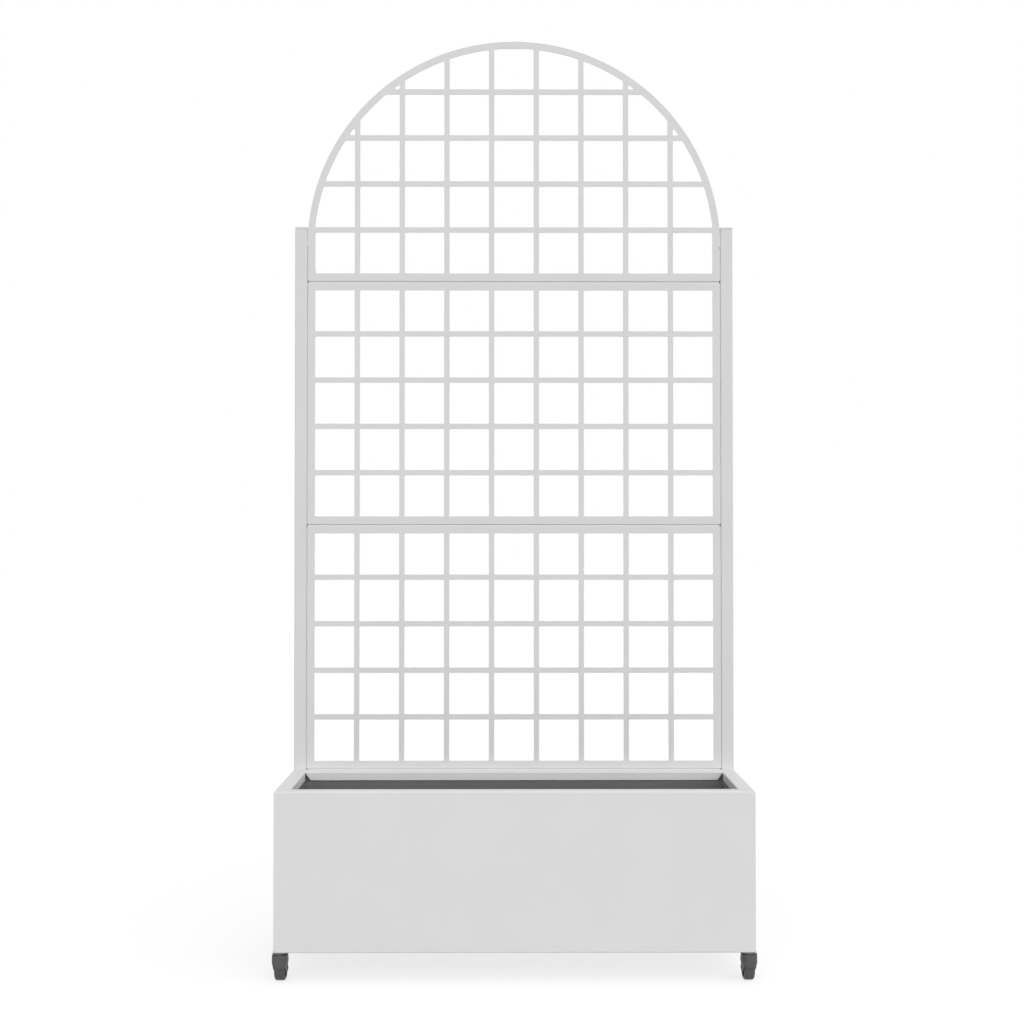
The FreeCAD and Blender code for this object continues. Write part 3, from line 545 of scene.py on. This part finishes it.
# Trellis: laser-cut sheets with a grid of windows, and edges folded back between the corners
PANEL_WIDTH = 0.85
PANEL_HEIGHT = 0.5
PANEL_GAUGE = 0.0015
FLANGE_DEPTH = 0.02
FOLD_RADIUS = 0.0025
FOLD_STEPS = 4
CORNER_NOTCH = 0.003
ARCH_SIDE = 0.072
ARCH_BAND = 0.014
ARCH_STEPS = 96
CORNER_CUTS = 4
STRAIGHT_ON = -0.98
FACING_UP = 0.5
DISC_DEPTHS = 4.0
TRELLIS_SIZES = {
    "Columns": 9,
    "Rows": 5,
    "Bar Width": 0.011,
    "Side Border": 0.0165,
    "End Border": 0.0175,
    "Corner Radius": 0.002,
    "Panel Width": PANEL_WIDTH,
    "Panel Height": PANEL_HEIGHT,
    "Cut Depth": 0.006,
    "Arch Radius": PANEL_WIDTH / 2 - ARCH_BAND,
    "Arch Level": ARCH_SIDE,
}


def thickened(recipe, flat):
    """Closed blocks as deep as the cut, on flat faces."""
    size = {"Offset Scale": recipe.given["Cut Depth"], "Individual": False}
    lid = recipe.add("GeometryNodeExtrudeMesh", {"Mesh": flat, **size})
    base = recipe.add("GeometryNodeFlipFaces", {"Mesh": flat})
    both = recipe.add("GeometryNodeJoinGeometry", {0: lid.outputs["Mesh"]})
    recipe.tree.links.new(base.outputs[0], both.inputs[0])
    return welded(recipe, both.outputs[0])


def clipped(recipe, flat):
    """The part of flat windows that lies inside the arch's band."""
    calc, given = recipe.math, recipe.given
    depth = calc("MULTIPLY", given["Cut Depth"], DISC_DEPTHS)
    round_sizes = {"Vertices": 2 * ARCH_STEPS, "Radius": given["Arch Radius"], "Depth": depth}
    round_block = recipe.add("GeometryNodeMeshCylinder", round_sizes)
    drop = calc("MULTIPLY_ADD", given["Panel Height"], -0.5, given["Arch Level"])
    middle = recipe.add("ShaderNodeCombineXYZ", {1: drop})
    move = {"Geometry": round_block.outputs[0], "Translation": middle.outputs[0]}
    disc = recipe.add("GeometryNodeTransform", move)
    common = recipe.add(
        "GeometryNodeMeshBoolean",
        {"Mesh 2": thickened(recipe, flat)},
        operation="INTERSECT",
        solver="EXACT",
    )
    recipe.tree.links.new(disc.outputs[0], common.inputs["Mesh 2"])
    normal = recipe.add("GeometryNodeInputNormal").outputs[0]
    facing = recipe.add("ShaderNodeSeparateXYZ", {0: normal}).outputs
    upward = calc("GREATER_THAN", facing[2], FACING_UP)
    choice = {"Geometry": common.outputs[0], "Selection": upward}
    return recipe.add("GeometryNodeSeparateGeometry", choice, domain="FACE").outputs["Selection"]


def sharp_corners(recipe):
    """One at the points where an outline turns a corner, and none along its curves."""
    index = recipe.add("GeometryNodeInputIndex").outputs[0]
    here = recipe.add("GeometryNodeInputPosition").outputs[0]
    arms = []
    for step in (-1, 1):
        offset = recipe.add("GeometryNodeOffsetPointInCurve", {"Point Index": index, "Offset": step})
        near = recipe.add(
            "GeometryNodeFieldAtIndex",
            {"Index": offset.outputs["Point Index"], "Value": here},
            data_type="FLOAT_VECTOR",
        )
        arm = recipe.add("ShaderNodeVectorMath", {0: near.outputs[0], 1: here}, operation="SUBTRACT")
        way = recipe.add("ShaderNodeVectorMath", {0: arm.outputs[0]}, operation="NORMALIZE")
        arms.append(way.outputs[0])
    turn = recipe.add("ShaderNodeVectorMath", {0: arms[0], 1: arms[1]}, operation="DOT_PRODUCT")
    return recipe.math("GREATER_THAN", turn.outputs["Value"], STRAIGHT_ON)


def rounded(recipe, flat):
    """Flat windows with their corners rounded."""
    count = recipe.add("GeometryNodeInputMeshEdgeNeighbors").outputs[0]
    rim = {"Mesh": flat, "Selection": recipe.math("COMPARE", count, 1.0, 0.5)}
    outlines = recipe.add("GeometryNodeMeshToCurve", rim).outputs[0]
    radius = recipe.math("MULTIPLY", sharp_corners(recipe), recipe.given["Corner Radius"])
    soft = recipe.add(
        "GeometryNodeFilletCurve",
        {"Curve": outlines, "Count": CORNER_CUTS, "Radius": radius, "Limit Radius": True},
        mode="POLY",
    )
    return recipe.add("GeometryNodeFillCurve", {"Curve": soft.outputs[0]}, mode="NGONS").outputs[0]


def trellis_recipe(name, arched):
    """Cuts a grid of round-cornered windows through a sheet; an arch's band clips those under it."""
    recipe = Recipe(name, TRELLIS_SIZES)
    calc, given = recipe.math, recipe.given
    openings = {}
    spans = {}
    for way, side, whole, border, count in (
        ("X", "Width", "Panel Width", "Side Border", "Columns"),
        ("Y", "Height", "Panel Height", "End Border", "Rows"),
    ):
        inside = calc("MULTIPLY_ADD", given[border], -2.0, given[whole])
        with_bar = calc("ADD", inside, given["Bar Width"])
        pitch = calc("DIVIDE", with_bar, given[count])
        openings[side] = calc("SUBTRACT", pitch, given["Bar Width"])
        spans[f"Size {way}"] = calc("MULTIPLY", pitch, calc("SUBTRACT", given[count], 1.0))
    opening = recipe.add("GeometryNodeCurvePrimitiveQuadrilateral", openings)
    window = recipe.add("GeometryNodeFillCurve", {"Curve": opening.outputs[0]}, mode="NGONS")
    counts = {"Vertices X": given["Columns"], "Vertices Y": given["Rows"]}
    grid = recipe.add("GeometryNodeMeshGrid", {**counts, **spans})
    sources = {"Points": grid.outputs["Mesh"], "Instance": window.outputs[0]}
    placed = recipe.add("GeometryNodeInstanceOnPoints", sources)
    flat = recipe.add("GeometryNodeRealizeInstances", {"Geometry": placed.outputs[0]}).outputs[0]
    if arched:
        flat = clipped(recipe, flat)
    blocks = thickened(recipe, rounded(recipe, flat))
    half_cut = calc("MULTIPLY", given["Cut Depth"], 0.5)
    half_height = calc("MULTIPLY", given["Panel Height"], 0.5)
    lift = recipe.add("ShaderNodeCombineXYZ", {1: half_cut, 2: half_height})
    upright = {"Translation": lift.outputs[0], "Rotation": Euler((math.pi / 2, 0, 0))}
    cut = recipe.add("GeometryNodeTransform", {"Geometry": blocks, **upright})
    sheet = recipe.add(
        "GeometryNodeMeshBoolean",
        {"Mesh 1": given["Geometry"], "Mesh 2": cut.outputs[0]},
        operation="DIFFERENCE",
        solver="EXACT",
    )
    recipe.finish(sheet.outputs[0], shaded_trellis_coat)
    return recipe


def add_prism(shape, outline, depth):
    """A solid between y = 0 and the depth, from its outline in x and z."""
    front, back = ([shape.verts.new((x, y, z)) for x, z in outline] for y in (0.0, depth))
    shape.faces.new(front)
    shape.faces.new(back[::-1])
    for i in range(len(outline)):
        shape.faces.new((front[i - 1], front[i], back[i], back[i - 1]))


def add_fold(shape, start, end, inward):
    """The folded edge between two points of the sheet's outline: a bend and the flange behind it."""
    arc = [step / FOLD_STEPS * math.pi / 2 for step in range(FOLD_STEPS + 1)]
    section = [(0.0, FLANGE_DEPTH)]
    for radius, angles in ((FOLD_RADIUS, arc), (FOLD_RADIUS - PANEL_GAUGE, arc[::-1])):
        for angle in angles:
            inset = FOLD_RADIUS - radius * math.cos(angle)
            section.append((inset, FOLD_RADIUS - radius * math.sin(angle)))
    section.append((PANEL_GAUGE, FLANGE_DEPTH))
    rings = [
        [shape.verts.new((x + inward[0] * inset, y, z + inward[1] * inset)) for inset, y in section]
        for x, z in (start, end)
    ]
    for ring in rings:
        shape.faces.new(ring)
    for i in range(len(section)):
        shape.faces.new((rings[0][i - 1], rings[0][i], rings[1][i], rings[1][i - 1]))


def make_trellis():
    half, inset = PANEL_WIDTH / 2, PANEL_WIDTH / 2 - FOLD_RADIUS
    run = half - CORNER_NOTCH
    top = PANEL_HEIGHT - FOLD_RADIUS
    plain = [(-inset, FOLD_RADIUS), (inset, FOLD_RADIUS), (inset, top), (-inset, top)]
    turns = [step / ARCH_STEPS * math.pi for step in range(ARCH_STEPS + 1)]
    dome = [(half * math.cos(a), ARCH_SIDE + half * math.sin(a)) for a in turns]
    arch = [plain[0], plain[1], (inset, ARCH_SIDE), *dome, (-inset, ARCH_SIDE)]
    grid_windows = trellis_recipe("grid_windows", False)
    arch_windows = trellis_recipe("arch_windows", True)
    for name, outline, recipe, side in (
        ("lower", plain, grid_windows, PANEL_HEIGHT - CORNER_NOTCH),
        ("middle", plain, grid_windows, PANEL_HEIGHT - CORNER_NOTCH),
        ("arch", arch, arch_windows, ARCH_SIDE - CORNER_NOTCH),
    ):
        node = f"{name}_trellis_panel"
        blank = bmesh.new()
        add_prism(blank, outline, PANEL_GAUGE)
        shape = grown(recipe, node, plain_mesh(node, blank), {})
        add_fold(shape, (-run, 0.0), (run, 0.0), (0, 1))
        for edge, inward in ((-half, (1, 0)), (half, (-1, 0))):
            add_fold(shape, (edge, CORNER_NOTCH), (edge, side), inward)
        if outline is plain:
            add_fold(shape, (-run, PANEL_HEIGHT), (run, PANEL_HEIGHT), (0, -1))
        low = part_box(node)[0]
        bmesh.ops.translate(shape, verts=shape.verts, vec=(0.0, low[1], low[2]))
        fit(finished(f"{name}_trellis_sheet", shape, shaded_trellis_coat), "planter", "powder_coat", node)


# Castors: a moulded hood on a turned stem, over a wheel that trails behind it
CASTOR_CORNERS = ("front_left", "front_right", "rear_left", "rear_right")
CASTOR_TOP = 0.058
CASTOR_TRAIL = 0.015
AXLE_LEVEL = 0.0225
AXLE_HOLE = 0.00305
JOURNAL_HOLE = 0.00505
STEM_HEAD_ROOM = 0.0075
HOOD_TOP = 0.053
HOOD_CROWN = 0.047
HOOD_SHOULDER = 0.042
HOOD_LIP = 0.028
HOOD_REACH = 0.014
HOOD_HALF = 0.014
HOOD_ROUND = 0.01
HOOD_SOFT = 0.0015
SOFT_STEPS = 5
LEG_HALF = 0.0125
LEG_TOP = 0.0305
LEG_BASE = 0.0145
LEG_FRONT = 0.008
LEG_BACK = 0.023
LEG_ROUND = 0.006
LEG_LEVELS = [0.0165, 0.018, 0.0195, 0.021, 0.0225, 0.024, 0.0255]
LIP_LEVELS = [0.0265, 0.0272, 0.0278, 0.0284, 0.029, 0.0297]
WAIST_TOP = 0.0365
WAIST_STEPS = 6
WHEEL_ROOM = 0.0245
SLOT_HALF = 0.011
DRUM_SIDES = 64
WHEEL_SIDES = 80
CORNER_STEPS = 8
WHEEL_RADIUS = 0.0225
SHOULDER_ROUND = 0.0043
WHEEL_HALF_SECTION = [
    (0.0105, 0.00305),
    (0.0105, 0.0062),
    (0.0103, 0.0068),
    (0.0097, 0.007),
    (0.0052, 0.0073),
    (0.0044, 0.0078),
    (0.0041, 0.0086),
    (0.004, 0.015),
    (0.0043, 0.0158),
    (0.005, 0.0163),
    (0.0092, 0.0167),
    (0.0098, 0.017),
    (0.01, 0.0176),
]
RIVET_SIZES = {
    "Outer Radius": 0.005,
    "Inner Radius": 0.003,
    "Height": 0.0015,
    "Length": 2 * LEG_HALF,
}
STEM_SIZES = {"Outer Radius": 0.013, "Inner Radius": 0.004, "Thread Pitch": M8_PITCH}


def rounding(reach, radius):
    """How far a quarter round falls back at a distance past its start."""
    part = min(max(reach, 0.0), radius)
    return radius - math.sqrt(radius**2 - part**2)


def hood_section(level):
    """The hood's half width, front and back at a level, along the way it trails."""
    share = min(max((level - LEG_TOP) / (WAIST_TOP - LEG_TOP), 0.0), 1.0)
    half = LEG_HALF + (HOOD_HALF - LEG_HALF) * share**2 * (3 - 2 * share)
    slope = (CASTOR_TRAIL - LEG_FRONT + HOOD_REACH) / (HOOD_LIP - LEG_BASE)
    under = (HOOD_LIP - level) * slope
    front = (under + math.hypot(under, 2 * HOOD_SOFT)) / 2 - HOOD_REACH
    lean = (LEG_BACK - HOOD_REACH) / (HOOD_TOP - LEG_TOP)
    back = LEG_BACK - max(level - LEG_TOP, 0.0) * lean
    back -= rounding(LEG_BASE + LEG_ROUND - level, LEG_ROUND)
    edge = rounding(level - HOOD_TOP + HOOD_SOFT, HOOD_SOFT)
    edge += rounding(LEG_BASE + HOOD_SOFT / 2 - level, HOOD_SOFT / 2)
    return half - edge, front + edge, back - edge


def hood_ring(level):
    """The hood's outline at a level: full rounds in front, softened corners behind."""
    half, front, back = hood_section(level)
    full = min(HOOD_ROUND, (back - front) / 2, half)
    corners = ((1, 1, HOOD_SOFT), (-1, 1, full), (-1, -1, full), (1, -1, HOOD_SOFT))
    points = []
    for number, (way, side, radius) in enumerate(corners):
        x = back - radius if way > 0 else front + radius
        y = side * (half - radius)
        for step in range(CORNER_STEPS + 1):
            angle = (number + step / CORNER_STEPS) * math.pi / 2
            points.append((x + radius * math.cos(angle), y + radius * math.sin(angle), level))
    return points


def add_rings(shape, rings, closed):
    """Skins rings of points; an open run gets a face at each end."""
    made = [[shape.verts.new(point) for point in ring] for ring in rings]
    for number in range(0 if closed else 1, len(made)):
        one, other = made[number - 1], made[number]
        for i in range(len(one)):
            shape.faces.new((one[i - 1], one[i], other[i], other[i - 1]))
    if not closed:
        shape.faces.new(made[0])
        shape.faces.new(made[-1])


def drum(name, middle, radius, depth, turn):
    """A round block to cut with, upright until it is turned."""
    shape = bmesh.new()
    bmesh.ops.create_cone(
        shape,
        cap_ends=True,
        segments=DRUM_SIDES,
        radius1=radius,
        radius2=radius,
        depth=depth,
        matrix=Matrix.Translation(middle) @ turn,
    )
    return linked(name, plain_mesh(name, shape))


def wheel_room():
    """A block to cut with: the round space about the wheel, open towards the back."""
    outline = []
    for step in range(DRUM_SIDES + 1):
        angle = math.pi * (0.5 + step / DRUM_SIDES)
        x = CASTOR_TRAIL + WHEEL_ROOM * math.cos(angle)
        outline.append((x, AXLE_LEVEL + WHEEL_ROOM * math.sin(angle)))
    outline.append((2 * LEG_BACK, AXLE_LEVEL - WHEEL_ROOM))
    outline.append((2 * LEG_BACK, AXLE_LEVEL + WHEEL_ROOM))
    shape = bmesh.new()
    add_prism(shape, outline, 2 * SLOT_HALF)
    bmesh.ops.translate(shape, verts=shape.verts, vec=(0, -SLOT_HALF, 0))
    return linked("wheel_room", plain_mesh("wheel_room", shape))


def hood_shape():
    """One hood about its stem, trailing along x: the moulding less the wheel's room and the bores."""
    soft = [HOOD_SOFT * step / SOFT_STEPS for step in range(SOFT_STEPS + 1)]
    waist = WAIST_TOP - LEG_TOP
    levels = [LEG_BASE + reach / 2 for reach in soft] + LEG_LEVELS + LIP_LEVELS
    levels += [LEG_TOP + waist * step / WAIST_STEPS for step in range(WAIST_STEPS + 1)]
    levels += [HOOD_SHOULDER] + [HOOD_TOP - HOOD_SOFT + reach for reach in soft]
    block = bmesh.new()
    add_rings(block, [hood_ring(level) for level in levels], False)
    moulding = linked("castor_hood", plain_mesh("castor_hood", block))
    upright, across = Matrix.Identity(4), Matrix.Rotation(math.pi / 2, 4, "X")
    cutters = [
        wheel_room(),
        drum("stem_head_room", (0, 0, HOOD_CROWN / 2), STEM_HEAD_ROOM, HOOD_CROWN, upright),
        drum("journal_bore", (0, 0, HOOD_TOP), JOURNAL_HOLE, HOOD_TOP, upright),
        drum("axle_holes", (CASTOR_TRAIL, 0, AXLE_LEVEL), AXLE_HOLE, 4 * HOOD_HALF, across),
    ]
    for item in cutters:
        modifier = moulding.modifiers.new(item.name, "BOOLEAN")
        modifier.object = item
        modifier.solver = "EXACT"
    shape = evaluated(moulding)
    for item in cutters:
        bpy.data.objects.remove(item)
    return shape


def wheel_shape():
    """One wheel about its axle along y: a moulded web between hub and rim, and rounded shoulders."""
    edge = WHEEL_HALF_SECTION[-1][0] - SHOULDER_ROUND
    half = list(WHEEL_HALF_SECTION)
    for step in range(CORNER_STEPS + 1):
        angle = step / CORNER_STEPS * math.pi / 2
        radius = WHEEL_RADIUS - SHOULDER_ROUND * (1 - math.sin(angle))
        half.append((edge + SHOULDER_ROUND * math.cos(angle), radius))
    section = half + [(-across, radius) for across, radius in reversed(half)]
    angles = [step / WHEEL_SIDES * math.tau for step in range(WHEEL_SIDES)]
    shape = bmesh.new()
    rings = [[(r * math.cos(a), y, r * math.sin(a)) for a in angles] for y, r in section]
    add_rings(shape, rings, True)
    bmesh.ops.translate(shape, verts=shape.verts, vec=(CASTOR_TRAIL, 0, AXLE_LEVEL))
    return shape


def make_castors():
    rivets = fastener_recipe("axle_rivets", rivet_rows(), dark_steel)
    stems = fastener_recipe("castor_stems", stem_rows(), dark_steel)
    for corner in CASTOR_CORNERS:
        node = f"{corner}_castor"
        swivel = f"{corner}_swivel"
        low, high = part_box(f"{node}_stem")
        x, y = ((low[axis] + high[axis]) / 2 for axis in (0, 1))
        hood, wheel = hood_shape(), wheel_shape()
        place = Matrix.Translation((x, y, 0)) @ Matrix.Rotation(math.pi / 2, 4, "Z")
        for shape in (hood, wheel):
            bmesh.ops.transform(shape, matrix=place, verts=shape.verts)
        axle_end = (x + LEG_HALF, y + CASTOR_TRAIL, AXLE_LEVEL)
        seat = seat_mesh("axle_seat", [axle_end], [(1, 0, 0)])
        rivet = grown(rivets, f"{node}_axle", seat, RIVET_SIZES)
        ends = {"Height": high[2] - CASTOR_TOP, "Length": CASTOR_TOP - low[2]}
        seat = seat_mesh("stem_seat", [(x, y, CASTOR_TOP)], [(0, 0, 1)])
        stem = grown(stems, f"{node}_stem", seat, {**STEM_SIZES, **ends})
        for name, shape, material, body, slot, replaced in (
            ("moulded_hood", hood, castor_nylon, swivel, "castor_plastic", "fork"),
            ("moulded_wheel", wheel, castor_nylon, f"{corner}_wheel", "castor_plastic", "wheel"),
            ("axle_rivet", rivet, dark_steel, swivel, "zinc_steel", "axle"),
            ("turned_stem", stem, dark_steel, "planter", "zinc_steel", "stem"),
        ):
            piece = finished(f"{corner}_{name}", shape, material)
            fit(piece, body, slot, f"{node}_{replaced}")


# Stage: a pale floor that keeps the shadow, a white surround and a large soft light above the camera
FLOOR_HALF = 30.0
FLOOR_DROP = 0.0002
FLOOR_GREY = 0.45
FLOOR_SHOWN_GREY = 0.28
FLOOR_LIFT = 0.76
SKY_LEVEL = -0.174
SKY_PULL = (0.62, -1.71, 1.13)
SKY_BACK_PULL = (0.0, 0.8, 0.0)
SKY_LEAST = 0.2


def seen_directly(graph):
    """One for rays that show the background itself, and none for those that light the object."""
    path = graph.add("ShaderNodeLightPath")
    total = path.outputs["Is Camera Ray"]
    for name in ("Is Glossy Ray", "Is Transmission Ray"):
        total = graph.math("MAXIMUM", total, path.outputs[name])
    return total


def floor_material():
    """A grey floor that looks white where it is seen, but for the shadow."""
    material, graph = new_material("studio_floor")
    seen = seen_directly(graph)
    greys = {"Value": seen, "To Min": FLOOR_GREY, "To Max": FLOOR_SHOWN_GREY}
    shade = graph.add("ShaderNodeMapRange", greys)
    diffuse = graph.add("ShaderNodeBsdfDiffuse", {"Color": shade.outputs[0]})
    glow = graph.add("ShaderNodeEmission", {"Strength": graph.math("MULTIPLY", seen, FLOOR_LIFT)})
    total = graph.add("ShaderNodeAddShader", {0: diffuse.outputs[0], 1: glow.outputs[0]})
    graph.add("ShaderNodeOutputMaterial", {"Surface": total.outputs[0]})
    return material


def make_floor():
    corners = [(-1, -1), (1, -1), (1, 1), (-1, 1)]
    points = [(x * FLOOR_HALF, y * FLOOR_HALF, -FLOOR_DROP) for x, y in corners]
    mesh = bpy.data.meshes.new("studio_floor")
    mesh.from_pydata(points, [], [(0, 1, 2, 3)])
    mesh.materials.append(floor_material())
    linked("studio_floor", mesh)


def make_world():
    """A white surround that lights from above the camera, a little from the right, less from behind."""
    world = bpy.data.worlds.new("studio")
    world.use_nodes = True
    world.node_tree.nodes.clear()
    graph = Graph(world.node_tree)
    direction = graph.add("ShaderNodeTexCoord").outputs["Generated"]
    front, back = (
        graph.add("ShaderNodeVectorMath", {0: direction, 1: pull}, operation="DOT_PRODUCT")
        for pull in (SKY_PULL, SKY_BACK_PULL)
    )
    level = graph.math("ADD", front.outputs["Value"], SKY_LEVEL)
    for other in (back.outputs["Value"], SKY_LEAST):
        level = graph.math("MAXIMUM", level, other)
    shown = graph.add("ShaderNodeBackground", {"Color": grey(1.0), "Strength": 1.0})
    light = graph.add("ShaderNodeBackground", {"Color": grey(1.0), "Strength": level})
    shaders = {0: seen_directly(graph), 1: light.outputs[0], 2: shown.outputs[0]}
    choice = graph.add("ShaderNodeMixShader", shaders)
    graph.add("ShaderNodeOutputWorld", {"Surface": choice.outputs[0]})
    scene.world = world


def make_camera():
    data = bpy.data.cameras.new("photo_camera")
    data.sensor_width = SENSOR_WIDTH
    data.lens = FOCAL_PIXELS / FRAME_PIXELS * SENSOR_WIDTH
    data.clip_end = CAMERA_REACH
    camera = linked("photo_camera", data)
    camera.location = CAMERA_PLACE
    camera.rotation_euler = Euler((math.pi / 2 + CAMERA_RAISE, 0.0, CAMERA_TURN))
    scene.camera = camera


coat_nodes()
make_fasteners()
make_trellis()
make_castors()
make_floor()
make_world()
make_camera()
scene.view_settings.view_transform = "Standard"
